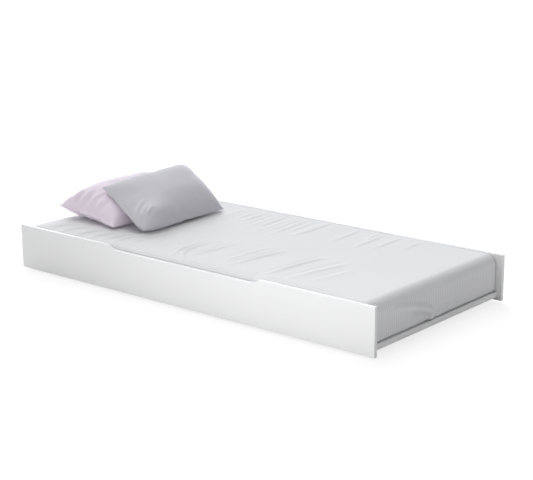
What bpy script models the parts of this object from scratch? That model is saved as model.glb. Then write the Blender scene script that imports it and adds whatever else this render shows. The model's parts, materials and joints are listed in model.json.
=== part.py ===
"""Trundle bed on hidden casters, with its mattress, fitted sheet and two pillows.

Metres, +Z up.  The origin is on the floor below the middle of the bed.  X runs along the
bed from the head (-X) to the foot (+X), and the front panel faces -Y.
"""

import math

import bmesh
import bpy
from mathutils import Matrix, Vector

# Driving dimensions of the frame
BED_LENGTH = 1.970
BED_WIDTH = 0.925
PANEL_HEIGHT = 0.198
PANEL_THICKNESS = 0.016
PANEL_EDGE_RADIUS = 0.0015
FLOOR_GAP = 0.008
FIT_GAP = 0.0003

# Finger cut-out in the top edge of the front panel
CUTOUT_TOP_WIDTH = 0.876
CUTOUT_FLOOR_WIDTH = 0.752
CUTOUT_DEPTH = 0.019
CUTOUT_RAMP_STEPS = 10

# End rails
RAIL_SECTION = 0.022
RAIL_INSET = 0.020
RAIL_BOTTOM = 0.023
RAIL_EDGE_RADIUS = 0.001

# Slats, the cleats they lie on and the tapes that space them
SLAT_COUNT = 13
SLAT_WIDTH = 0.080
SLAT_THICKNESS = 0.018
SLAT_END_GAP = 0.002
SLAT_EDGE_RADIUS = 0.002
FIRST_SLAT_INSET = 0.110
CLEAT_WIDTH = 0.020
CLEAT_HEIGHT = 0.016
CLEAT_INSET = 0.105
CLEAT_EDGE_RADIUS = 0.001
TAPE_WIDTH = 0.022
TAPE_THICKNESS = 0.0008
TAPE_OFFSET = 0.300

# Casters
WHEEL_RADIUS = 0.020
WHEEL_SIDES = 24
HUB_SIDES = 16
CASTER_INSET = 0.076
AXLE_FROM_PANEL = 0.024
AXLE_RADIUS = 0.003
AXLE_BORE_RADIUS = 0.0034
AXLE_HEAD_RADIUS = 0.0045
AXLE_HEAD_HEIGHT = 0.0015
TYRE_WIDTH = 0.018
TYRE_INNER_RADIUS = 0.0160
TYRE_SHOULDER = 0.0015
HUB_RADIUS = 0.0155
HUB_HALF_WIDTH = 0.0105
HUB_BOSS_RADIUS = 0.0065
HUB_WEB_HALF_WIDTH = 0.003
HUB_RIM_INNER_RADIUS = 0.0125
HUB_RIM_HALF_WIDTH = 0.008
FORK_GAP = 0.022
STEEL_THICKNESS = 0.002
FLANGE_WIDTH = 0.052
BRACKET_HEIGHT = 0.032
BRACKET_BOTTOM = 0.0115
FORK_REACH = 0.032
FORK_SLOPE = math.radians(28)
FORK_SLOPE_SHIFT = 0.018
FORK_SLOPE_RISE = 0.0335
SCREW_SPACING = 0.0195
SCREW_HEIGHT = 0.030
SCREW_LENGTH = 0.0098
SCREW_RADIUS = 0.0017
SCREW_HOLE_RADIUS = 0.0021
SCREW_HOLE_DEPTH = 0.0103
SCREW_HEAD_RADIUS = 0.0036
SCREW_HEAD_TOP = 0.0046
SCREW_HEAD_TOP_RADIUS = 0.0026

# Cam fittings between the end rails and the panels
CAM_RADIUS = 0.0075
CAM_HEIGHT = 0.0155
CAM_FROM_END = 0.024
CAM_DRIVE_SLOT = (0.0012, 0.008, 0.003)
BOLT_IN_PANEL = 0.011
BOLT_HOLE_RADIUS = 0.0034
BOLT_BORE_RADIUS = 0.0042
BOLT_THREAD_RADIUS = 0.0030
BOLT_COLLAR_RADIUS = 0.0036
BOLT_COLLAR_START = 0.001
BOLT_COLLAR_END = 0.003
BOLT_NECK_RADIUS = 0.0022
BOLT_HEAD_RADIUS = 0.0034
BOLT_HEAD_LENGTH = 0.003

# Bedding
MATTRESS_LENGTH = 1.907
SHEET_TOP = 0.2055
SHEET_THICKNESS = 0.0012
SHEET_SIDE_GAP = 0.0013
BEDDING_CORNER_RADIUS = 0.038
BEDDING_EDGE_RADIUS = 0.034
SHEET_HEM_RISE = 0.006

# Pillows, laid by their corners: head near, head far, foot near and foot far
PILLOW_CAGE_CUTS = 7
PILLOW_SEAM_HALF = 0.004
PILLOW_FULLNESS_POWER = 0.5
PILLOW_LOFT = 0.66
PINK_THICKNESS = 0.180
PINK_CORNERS = ((-0.950, -0.258, 0.261), (-0.900, 0.330, 0.282),
                (-0.583, -0.277, 0.221), (-0.550, 0.300, 0.222))
GREY_THICKNESS = 0.126
GREY_CORNERS = ((-0.751, -0.179, 0.362), (-0.742, 0.358, 0.371),
                (-0.410, -0.262, 0.216), (-0.432, 0.305, 0.215))
LEAN_ANGLE = math.radians(25)
LEAN_POINT = Vector((-0.455, 0.0, 0.217))
LEAN_GAP = 0.001

INNER_HALF_WIDTH = BED_WIDTH / 2 - PANEL_THICKNESS
RAIL_TOP = RAIL_BOTTOM + RAIL_SECTION
RAIL_AXIS_HEIGHT = RAIL_BOTTOM + RAIL_SECTION / 2
SLAT_BOTTOM = RAIL_TOP - SLAT_THICKNESS
AXLE_HEIGHT = WHEEL_RADIUS * math.cos(math.pi / WHEEL_SIDES)

SIDES = (("front", -1), ("back", 1))
ENDS = (("head", -1), ("foot", 1))


def clear_scene():
    for item in list(bpy.data.objects):
        bpy.data.objects.remove(item, do_unlink=True)
    for group in list(bpy.data.collections):
        bpy.data.collections.remove(group)


def new_collection(name):
    group = bpy.data.collections.new(name)
    bpy.context.scene.collection.children.link(group)
    return group


def principled(name, colour, roughness, metallic=0.0):
    surface = bpy.data.materials.new(name)
    surface.use_nodes = True
    shader = surface.node_tree.nodes["Principled BSDF"]
    shader.inputs["Base Color"].default_value = (*colour, 1.0)
    shader.inputs["Roughness"].default_value = roughness
    shader.inputs["Metallic"].default_value = metallic
    surface.diffuse_color = (*colour, 1.0)
    return surface


def add_object(name, mesh, surface, location=(0.0, 0.0, 0.0)):
    """Link a mesh as a named part of the bed."""
    item = bpy.data.objects.new(name, mesh)
    item.location = location
    PARTS.objects.link(item)
    mesh.materials.clear()
    mesh.materials.append(surface)
    return item


def mesh_from(name, shape):
    """Turn a bmesh into a mesh and free it."""
    bmesh.ops.recalc_face_normals(shape, faces=shape.faces)
    mesh = bpy.data.meshes.new(name)
    shape.to_mesh(mesh)
    shape.free()
    return mesh


def box_mesh(name, size):
    shape = bmesh.new()
    bmesh.ops.create_cube(shape, size=1.0)
    bmesh.ops.scale(shape, vec=Vector(size), verts=shape.verts)
    return mesh_from(name, shape)


def add_box(name, size, location, surface, edge_radius=0.0, segments=1):
    item = add_object(name, box_mesh(name, size), surface, location)
    if edge_radius:
        round_edges(item, edge_radius, segments)
    return item


def round_edges(item, radius, segments):
    bevel = item.modifiers.new("edges", "BEVEL")
    bevel.width = radius
    bevel.segments = segments
    bevel.limit_method = "ANGLE"
    bevel.angle_limit = math.radians(50)


def add_outline(name, points, thickness, surface):
    """Extrude a flat closed outline, drawn in X and Y, to a plate centred on Z = 0."""
    curve = bpy.data.curves.new(name + "_outline", "CURVE")
    curve.dimensions = "2D"
    curve.fill_mode = "BOTH"
    curve.extrude = thickness / 2
    spline = curve.splines.new("POLY")
    spline.points.add(len(points) - 1)
    for point, (x, y) in zip(spline.points, points):
        point.co = (x, y, 0.0, 1.0)
    spline.use_cyclic_u = True
    guide = bpy.data.objects.new(name + "_outline", curve)
    PARTS.objects.link(guide)
    depsgraph = bpy.context.evaluated_depsgraph_get()
    mesh = bpy.data.meshes.new_from_object(guide.evaluated_get(depsgraph))
    bpy.data.objects.remove(guide, do_unlink=True)
    shape = bmesh.new()
    shape.from_mesh(mesh)
    bmesh.ops.remove_doubles(shape, verts=shape.verts, dist=0.00005)
    bpy.data.meshes.remove(mesh)
    return add_object(name, mesh_from(name, shape), surface)


def turned_mesh(name, profile, sides, closed=False):
    """Turn a profile of (position along X, radius) pairs about the X axis."""
    shape = bmesh.new()
    ring = [shape.verts.new((along, radius, 0.0)) for along, radius in profile]
    for first, second in zip(ring, ring[1:]):
        shape.edges.new((first, second))
    if closed:
        shape.edges.new((ring[-1], ring[0]))
    bmesh.ops.spin(shape, geom=shape.verts[:] + shape.edges[:], cent=(0.0, 0.0, 0.0),
                   axis=(1.0, 0.0, 0.0), angle=2 * math.pi, steps=sides, use_merge=True)
    bmesh.ops.remove_doubles(shape, verts=shape.verts, dist=0.00002)
    mesh = mesh_from(name, shape)
    mesh.shade_smooth()
    mesh.set_sharp_from_angle(angle=math.radians(35))
    return mesh


def cut_with(target, mesh, location, rotation=(0.0, 0.0, 0.0)):
    """Take a cutter's shape out of a part."""
    cutter = bpy.data.objects.new("cut_" + target.name, mesh)
    cutter.location = location
    cutter.rotation_euler = rotation
    cutter.hide_render = True
    cutter.display_type = "WIRE"
    CUTTERS.objects.link(cutter)
    boolean = target.modifiers.new("cut", "BOOLEAN")
    boolean.operation = "DIFFERENCE"
    boolean.solver = "EXACT"
    boolean.object = cutter


def drill_mesh(radius, depth, sides):
    """A drill along Z, centred on its own origin."""
    shape = bmesh.new()
    bmesh.ops.create_cone(shape, cap_ends=True, segments=sides, radius1=radius,
                          radius2=radius, depth=depth)
    return mesh_from("drill", shape)


def drill(target, location, axis, radius, depth, sides=12):
    turns = {"X": (0.0, math.pi / 2, 0.0), "Y": (math.pi / 2, 0.0, 0.0), "Z": (0.0, 0.0, 0.0)}
    cut_with(target, drill_mesh(radius, depth, sides), location, turns[axis])


def front_outline():
    """The front panel's outline, with the dip for the fingers in its top edge."""
    half_length = BED_LENGTH / 2
    half_height = PANEL_HEIGHT / 2
    ramp = (CUTOUT_TOP_WIDTH - CUTOUT_FLOOR_WIDTH) / 2
    fall = []
    for step in range(CUTOUT_RAMP_STEPS + 1):
        share = step / CUTOUT_RAMP_STEPS
        drop = CUTOUT_DEPTH * (1 - math.cos(math.pi * share)) / 2
        fall.append((CUTOUT_TOP_WIDTH / 2 - ramp * share, half_height - drop))
    rise = [(-x, z) for x, z in reversed(fall)]
    foot_corners = [(half_length, -half_height), (half_length, half_height)]
    head_corners = [(-half_length, half_height), (-half_length, -half_height)]
    return foot_corners + fall + rise + head_corners


def build_panels():
    """Front and back panels, with blind holes for the cam bolts and the bracket screws."""
    middle = BED_WIDTH / 2 - PANEL_THICKNESS / 2
    height = FLOOR_GAP + PANEL_HEIGHT / 2
    front = add_outline("front_panel", front_outline(), PANEL_THICKNESS, LACQUER)
    front.data.transform(Matrix.Rotation(math.pi / 2, 4, "X"))
    front.location = (0.0, -middle, height)
    round_edges(front, PANEL_EDGE_RADIUS, 2)
    back = add_box("back_panel", (BED_LENGTH, PANEL_THICKNESS, PANEL_HEIGHT),
                   (0.0, middle, height), LACQUER, PANEL_EDGE_RADIUS, 2)
    for panel, side in ((front, -1), (back, 1)):
        for _, end in ENDS:
            rail_x = end * (BED_LENGTH / 2 - RAIL_INSET - RAIL_SECTION / 2)
            drill(panel, (rail_x, side * INNER_HALF_WIDTH, RAIL_AXIS_HEIGHT), "Y",
                  BOLT_HOLE_RADIUS, 2 * (BOLT_IN_PANEL + 2 * FIT_GAP))
            caster_x = end * (BED_LENGTH / 2 - CASTER_INSET)
            for shift in (-SCREW_SPACING, SCREW_SPACING):
                drill(panel, (caster_x + shift, side * INNER_HALF_WIDTH, SCREW_HEIGHT), "Y",
                      SCREW_HOLE_RADIUS, 2 * SCREW_HOLE_DEPTH, 8)


def build_rails():
    """The two end rails, bored for their cam fittings."""
    length = 2 * (INNER_HALF_WIDTH - FIT_GAP)
    for end_name, end in ENDS:
        x = end * (BED_LENGTH / 2 - RAIL_INSET - RAIL_SECTION / 2)
        rail = add_box(end_name + "_rail", (RAIL_SECTION, length, RAIL_SECTION),
                       (x, 0.0, RAIL_AXIS_HEIGHT), LACQUER, RAIL_EDGE_RADIUS, 2)
        for _, side in SIDES:
            cam_y = side * (INNER_HALF_WIDTH - CAM_FROM_END)
            drill(rail, (x, cam_y, RAIL_BOTTOM), "Z", CAM_RADIUS + 2 * FIT_GAP,
                  2 * (CAM_HEIGHT + 2 * FIT_GAP), 16)
            drill(rail, (x, side * INNER_HALF_WIDTH, RAIL_AXIS_HEIGHT), "Y",
                  BOLT_BORE_RADIUS, 2 * CAM_FROM_END)


def bolt_profile():
    """A cam bolt's profile: its thread, collar, neck and head."""
    neck_end = CAM_FROM_END - BOLT_HEAD_LENGTH
    return ((-BOLT_IN_PANEL, 0.0), (-BOLT_IN_PANEL, BOLT_THREAD_RADIUS),
            (BOLT_COLLAR_START, BOLT_THREAD_RADIUS), (BOLT_COLLAR_START, BOLT_COLLAR_RADIUS),
            (BOLT_COLLAR_END, BOLT_COLLAR_RADIUS), (BOLT_COLLAR_END, BOLT_NECK_RADIUS),
            (neck_end, BOLT_NECK_RADIUS), (neck_end, BOLT_HEAD_RADIUS),
            (CAM_FROM_END, BOLT_HEAD_RADIUS), (CAM_FROM_END, 0.0))


def build_cam_fittings():
    """A cam disc in each rail end and the bolt that it draws in, screwed into the panel."""
    disc_middle = RAIL_BOTTOM + FIT_GAP + CAM_HEIGHT / 2
    for end_name, end in ENDS:
        x = end * (BED_LENGTH / 2 - RAIL_INSET - RAIL_SECTION / 2)
        for side_name, side in SIDES:
            corner = side_name + "_" + end_name
            cam_y = side * (INNER_HALF_WIDTH - CAM_FROM_END)
            disc = add_object("cam_disc_" + corner, drill_mesh(CAM_RADIUS, CAM_HEIGHT, 16),
                              ZINC, (x, cam_y, disc_middle))
            drill(disc, (x, cam_y + side * CAM_RADIUS, RAIL_AXIS_HEIGHT), "Y",
                  BOLT_BORE_RADIUS, 2 * CAM_RADIUS + 2 * BOLT_HEAD_LENGTH)
            drive = box_mesh("drive_slot", CAM_DRIVE_SLOT)
            cut_with(disc, drive, (x, cam_y, disc_middle - CAM_HEIGHT / 2))
            bolt = add_object("cam_bolt_" + corner, turned_mesh("cam_bolt", bolt_profile(), 10),
                              ZINC, (x, side * INNER_HALF_WIDTH, RAIL_AXIS_HEIGHT))
            bolt.rotation_euler = (0.0, 0.0, -side * math.pi / 2)


def build_slats():
    """Cleats along the panels, the slats across them and the tapes under the slats."""
    cleat_length = BED_LENGTH - 2 * CLEAT_INSET
    cleat_z = SLAT_BOTTOM - FIT_GAP - CLEAT_HEIGHT / 2
    for side_name, side in SIDES:
        y = side * (INNER_HALF_WIDTH - FIT_GAP - CLEAT_WIDTH / 2)
        add_box(side_name + "_cleat", (cleat_length, CLEAT_WIDTH, CLEAT_HEIGHT),
                (0.0, y, cleat_z), PINE, CLEAT_EDGE_RADIUS)
    slat_length = 2 * (INNER_HALF_WIDTH - SLAT_END_GAP)
    first_x = -BED_LENGTH / 2 + FIRST_SLAT_INSET + SLAT_WIDTH / 2
    pitch = -2 * first_x / (SLAT_COUNT - 1)
    for number in range(SLAT_COUNT):
        add_box("slat_{:02d}".format(number + 1), (SLAT_WIDTH, slat_length, SLAT_THICKNESS),
                (first_x + number * pitch, 0.0, RAIL_TOP - SLAT_THICKNESS / 2), PINE,
                SLAT_EDGE_RADIUS)
    tape_length = -2 * first_x + SLAT_WIDTH
    for side_name, side in SIDES:
        add_box(side_name + "_slat_tape", (tape_length, TAPE_WIDTH, TAPE_THICKNESS),
                (0.0, side * TAPE_OFFSET, SLAT_BOTTOM - FIT_GAP - TAPE_THICKNESS / 2), TAPE)


def bracket_outline():
    """The bent bracket seen from above: two flanges on the panel and two fork cheeks."""
    cheek_in = FORK_GAP / 2
    cheek_out = cheek_in + STEEL_THICKNESS
    flange = FLANGE_WIDTH / 2
    half = [(cheek_in, STEEL_THICKNESS), (cheek_in, FORK_REACH), (cheek_out, FORK_REACH),
            (cheek_out, STEEL_THICKNESS), (flange, STEEL_THICKNESS), (flange, 0.0)]
    return half + [(-x, y) for x, y in reversed(half)]


def mirrored(half):
    """A profile and its mirror image in X = 0, end to end."""
    return half + tuple((-x, radius) for x, radius in reversed(half))


def tyre_profile():
    """The tyre's section, with its shoulders cut off."""
    half = TYRE_WIDTH / 2
    return mirrored(((-half, TYRE_INNER_RADIUS), (-half, WHEEL_RADIUS - TYRE_SHOULDER),
                     (TYRE_SHOULDER - half, WHEEL_RADIUS)))


def hub_profile():
    """The hub's section: boss, sunk web and rim."""
    return mirrored(((-HUB_HALF_WIDTH, AXLE_BORE_RADIUS), (-HUB_HALF_WIDTH, HUB_BOSS_RADIUS),
                     (-HUB_WEB_HALF_WIDTH, HUB_BOSS_RADIUS),
                     (-HUB_WEB_HALF_WIDTH, HUB_RIM_INNER_RADIUS),
                     (-HUB_RIM_HALF_WIDTH, HUB_RIM_INNER_RADIUS), (-HUB_RIM_HALF_WIDTH, HUB_RADIUS)))


def axle_profile():
    """The riveted axle's section, with a head outside each fork cheek."""
    grip = FORK_GAP / 2 + STEEL_THICKNESS + FIT_GAP
    end = grip + AXLE_HEAD_HEIGHT
    return mirrored(((-end, 0.0), (-end, AXLE_HEAD_RADIUS), (-grip, AXLE_HEAD_RADIUS),
                     (-grip, AXLE_RADIUS)))


def screw_profile():
    """A bracket screw's section: its shank in the panel and its head on the bracket."""
    seat = STEEL_THICKNESS + 2 * FIT_GAP
    return ((-SCREW_LENGTH, 0.0), (-SCREW_LENGTH, SCREW_RADIUS), (seat, SCREW_RADIUS),
            (seat, SCREW_HEAD_RADIUS), (SCREW_HEAD_TOP, SCREW_HEAD_TOP_RADIUS),
            (SCREW_HEAD_TOP, 0.0))


def build_casters():
    """Four side-mounted casters: bracket, screws, axle, and a wheel of hub and tyre."""
    facet_turn = math.pi / WHEEL_SIDES
    for end_name, end in ENDS:
        x = end * (BED_LENGTH / 2 - CASTER_INSET)
        for side_name, side in SIDES:
            corner = side_name + "_" + end_name
            axle_y = side * (INNER_HALF_WIDTH - AXLE_FROM_PANEL)
            axle_at = Vector((x, axle_y, AXLE_HEIGHT))
            carrier = bpy.data.objects.new("caster_axis_" + corner, None)
            carrier.location = axle_at
            PARTS.objects.link(carrier)
            tyre = add_object("wheel_tyre_" + corner,
                              turned_mesh("tyre", tyre_profile(), WHEEL_SIDES, closed=True), RUBBER)
            tyre.rotation_euler = (facet_turn, 0.0, 0.0)
            hub = add_object("wheel_hub_" + corner,
                             turned_mesh("hub", hub_profile(), HUB_SIDES, closed=True), NYLON)
            axle = add_object("wheel_axle_" + corner, turned_mesh("axle", axle_profile(), 12), ZINC)
            for item in (tyre, hub, axle):
                item.parent = carrier
            build_bracket(corner, x, side, axle_at)
            for number, shift in enumerate((-SCREW_SPACING, SCREW_SPACING)):
                name = "bracket_screw_{}_{}".format(corner, number + 1)
                screw = add_object(name, turned_mesh("screw", screw_profile(), 8), ZINC,
                                   (x + shift, side * INNER_HALF_WIDTH, SCREW_HEIGHT))
                screw.rotation_euler = (0.0, 0.0, -side * math.pi / 2)


def build_bracket(corner, x, side, axle_at):
    """A bent steel bracket, screwed to the panel's inner face."""
    bracket = add_outline("caster_bracket_" + corner, bracket_outline(), BRACKET_HEIGHT, ZINC)
    bracket.location = (x, side * (INNER_HALF_WIDTH - FIT_GAP),
                        BRACKET_BOTTOM + BRACKET_HEIGHT / 2)
    if side > 0:
        bracket.rotation_euler = (0.0, 0.0, math.pi)
    fork_width = FORK_GAP + 8 * STEEL_THICKNESS
    drill(bracket, axle_at, "X", AXLE_BORE_RADIUS, fork_width)
    for shift in (-SCREW_SPACING, SCREW_SPACING):
        drill(bracket, (x + shift, side * INNER_HALF_WIDTH, SCREW_HEIGHT), "Y",
              SCREW_HOLE_RADIUS, SCREW_HOLE_DEPTH, 8)
    slope = box_mesh("slope", (fork_width, 2 * FORK_REACH, BRACKET_HEIGHT))
    cut_with(bracket, slope,
             (x, axle_at.y - side * FORK_SLOPE_SHIFT, axle_at.z + FORK_SLOPE_RISE),
             (-side * FORK_SLOPE, 0.0, 0.0))


def rounded_slab(length, width, bottom, top, corner_radius, edge_radius):
    """A slab with round upright corners and a round top edge."""
    shape = bmesh.new()
    bmesh.ops.create_cube(shape, size=1.0)
    bmesh.ops.scale(shape, vec=Vector((length, width, top - bottom)), verts=shape.verts)
    bmesh.ops.translate(shape, vec=Vector((0.0, 0.0, (top + bottom) / 2)), verts=shape.verts)
    upright = [edge for edge in shape.edges if abs(edge.verts[0].co.z - edge.verts[1].co.z) > 0.01]
    bmesh.ops.bevel(shape, geom=upright, offset=corner_radius, segments=4, profile=0.5,
                    affect="EDGES", material=-1)
    middle = (top + bottom) / 2
    rim = [edge for edge in shape.edges
           if min(vert.co.z for vert in edge.verts) > middle and len(edge.link_faces) == 2
           and any(abs(face.normal.z) < 0.5 for face in edge.link_faces)]
    bmesh.ops.bevel(shape, geom=rim, offset=edge_radius, segments=4, profile=0.5,
                    affect="EDGES", material=-1)
    return shape


def build_mattress():
    """The foam mattress in its cover."""
    inset = SHEET_SIDE_GAP + SHEET_THICKNESS + FIT_GAP
    width = 2 * (INNER_HALF_WIDTH - inset)
    top = SHEET_TOP - SHEET_THICKNESS - FIT_GAP
    shape = rounded_slab(MATTRESS_LENGTH, width, RAIL_TOP + FIT_GAP, top,
                         BEDDING_CORNER_RADIUS, BEDDING_EDGE_RADIUS)
    add_object("mattress", mesh_from("mattress", shape), TICKING)


def build_sheet():
    """The fitted sheet: a thin shell over the mattress, open below."""
    width = 2 * (INNER_HALF_WIDTH - SHEET_SIDE_GAP - SHEET_THICKNESS)
    shape = rounded_slab(MATTRESS_LENGTH + 2 * FIT_GAP, width, RAIL_TOP + SHEET_HEM_RISE,
                         SHEET_TOP - SHEET_THICKNESS, BEDDING_CORNER_RADIUS + FIT_GAP,
                         BEDDING_EDGE_RADIUS + FIT_GAP)
    floor_faces = [face for face in shape.faces if face.normal.z < -0.5]
    bmesh.ops.delete(shape, geom=floor_faces, context="FACES")
    sheet = add_object("fitted_sheet", mesh_from("fitted_sheet", shape), COTTON)
    wall = sheet.modifiers.new("cloth", "SOLIDIFY")
    wall.thickness = SHEET_THICKNESS
    wall.offset = 1.0
    wall.use_even_offset = True


def pillow_mesh(name, corners, thickness, squareness, keep):
    """A crowned pillow between four corners; keep() presses each point clear of a neighbour."""
    head_near, head_far, foot_near, foot_far = (Vector(corner) for corner in corners)
    shape = bmesh.new()
    bmesh.ops.create_cube(shape, size=2.0)
    flat = [edge for edge in shape.edges if abs(edge.verts[0].co.z - edge.verts[1].co.z) < 0.01]
    bmesh.ops.subdivide_edges(shape, edges=flat, cuts=PILLOW_CAGE_CUTS, use_grid_fill=True)
    for vert in shape.verts:
        u, v, side = vert.co
        down_share = (u + 1) / 2
        along_share = (v + 1) / 2
        head = head_near.lerp(head_far, along_share)
        foot = foot_near.lerp(foot_far, along_share)
        near = head_near.lerp(foot_near, down_share)
        far = head_far.lerp(foot_far, down_share)
        normal = (foot - head).cross(far - near).normalized()
        fullness = (1 - abs(u) ** squareness[0]) * (1 - abs(v) ** squareness[1])
        share = PILLOW_LOFT if side > 0 else 1 - PILLOW_LOFT
        rise = PILLOW_SEAM_HALF + thickness * share * fullness ** PILLOW_FULLNESS_POWER
        vert.co = keep(head.lerp(foot, down_share) + normal * side * rise)
    return mesh_from(name, shape)


def add_pillow(name, corners, thickness, squareness, keep, surface):
    item = add_object(name, pillow_mesh(name, corners, thickness, squareness, keep), surface)
    smooth = item.modifiers.new("smooth", "SUBSURF")
    smooth.levels = 1
    smooth.render_levels = 1
    item.data.shade_smooth()


def build_pillows():
    """One pillow flat near the head, and one leaning on it towards the foot."""
    lean_normal = Vector((math.sin(LEAN_ANGLE), 0.0, math.cos(LEAN_ANGLE)))
    lying = SHEET_TOP + FIT_GAP

    def under_lean(point):
        height = (point - LEAN_POINT).dot(lean_normal)
        if height > -LEAN_GAP:
            point = point - lean_normal * (height + LEAN_GAP)
        point.z = max(point.z, lying)
        return point

    def over_lean(point):
        height = (point - LEAN_POINT).dot(lean_normal)
        if height < LEAN_GAP:
            point = point + lean_normal * (LEAN_GAP - height)
        point.z = max(point.z, lying)
        return point

    add_pillow("pink_pillow", PINK_CORNERS, PINK_THICKNESS, (3.0, 3.2), under_lean, PINK_COTTON)
    add_pillow("grey_pillow", GREY_CORNERS, GREY_THICKNESS, (2.8, 4.6), over_lean, GREY_COTTON)


clear_scene()
PARTS = new_collection("trundle_bed")
CUTTERS = new_collection("cutters")

LACQUER = principled("white_lacquer", (0.86, 0.86, 0.86), 0.35)
PINE = principled("pale_pine", (0.72, 0.55, 0.36), 0.6)
TAPE = principled("slat_tape", (0.75, 0.74, 0.70), 0.85)
ZINC = principled("zinc_plated_steel", (0.62, 0.63, 0.65), 0.35, 1.0)
NYLON = principled("grey_nylon", (0.25, 0.25, 0.26), 0.45)
RUBBER = principled("black_rubber", (0.03, 0.03, 0.03), 0.75)
TICKING = principled("mattress_ticking", (0.85, 0.84, 0.81), 0.85)
COTTON = principled("striped_cotton", (0.80, 0.80, 0.81), 0.85)
PINK_COTTON = principled("pink_cotton", (0.80, 0.72, 0.78), 0.85)
GREY_COTTON = principled("grey_cotton", (0.60, 0.61, 0.65), 0.85)

build_panels()
build_rails()
build_cam_fittings()
build_slats()
build_casters()
build_mattress()
build_sheet()
build_pillows()
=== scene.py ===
"""Looks of a trundle bed: lacquered panels, pine slats, casters, a tucked sheet and two pillows.

Metres, +Z up.  X runs from the head of the bed to its foot, and the front panel faces -Y.
"""

import json
import logging
import math
from dataclasses import dataclass, field
from enum import Enum
from typing import Callable, Optional, Sequence

import bmesh
import bpy
import numpy as np
from mathutils import Matrix, Vector


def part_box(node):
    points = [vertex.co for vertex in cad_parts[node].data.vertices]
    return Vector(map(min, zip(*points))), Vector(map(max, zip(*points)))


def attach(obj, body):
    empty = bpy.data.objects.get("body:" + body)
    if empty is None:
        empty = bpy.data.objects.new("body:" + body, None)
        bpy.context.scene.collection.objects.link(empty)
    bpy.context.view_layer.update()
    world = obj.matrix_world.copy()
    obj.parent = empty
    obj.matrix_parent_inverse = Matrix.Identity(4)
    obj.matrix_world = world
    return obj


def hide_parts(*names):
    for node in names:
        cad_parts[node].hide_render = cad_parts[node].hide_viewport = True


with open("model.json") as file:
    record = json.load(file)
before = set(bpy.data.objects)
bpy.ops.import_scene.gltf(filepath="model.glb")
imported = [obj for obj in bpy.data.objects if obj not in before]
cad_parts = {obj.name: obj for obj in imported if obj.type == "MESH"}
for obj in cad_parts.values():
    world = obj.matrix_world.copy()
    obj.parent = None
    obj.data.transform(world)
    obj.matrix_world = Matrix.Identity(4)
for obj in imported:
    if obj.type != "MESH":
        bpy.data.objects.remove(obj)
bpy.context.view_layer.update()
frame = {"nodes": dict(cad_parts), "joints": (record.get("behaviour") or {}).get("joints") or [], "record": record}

CUTOUT = frame["record"]["physics"]["openings"][0]
LOG = logging.getLogger("trundle_bed")

Colour = tuple[float, float, float]
Point = tuple[float, float, float]
Range = tuple[float, float]

WHITE = (1.0, 1.0, 1.0, 1.0)
MIX_SHARE, MIX_FIRST, MIX_SECOND, MIX_COLOUR = 0, 6, 7, 2  # a colour Mix node's sockets, by number
WAVE_PACE = 20.0  # radians per metre of a wave texture whose scale is 1
MERGE = 0.00001  # points this close are one
TINY = 1e-9  # keeps a division off zero


class Side(Enum):
    """The two long sides of the bed, by their direction along Y."""

    FRONT = -1
    BACK = 1


class End(Enum):
    """The two ends of the bed, by their direction along X."""

    HEAD = -1
    FOOT = 1


class Grain(Enum):
    """The way that timber's grain runs."""

    ALONG_BED = 0
    ACROSS_BED = 1


# --------------------------------------------------------------------------- shading


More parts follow.
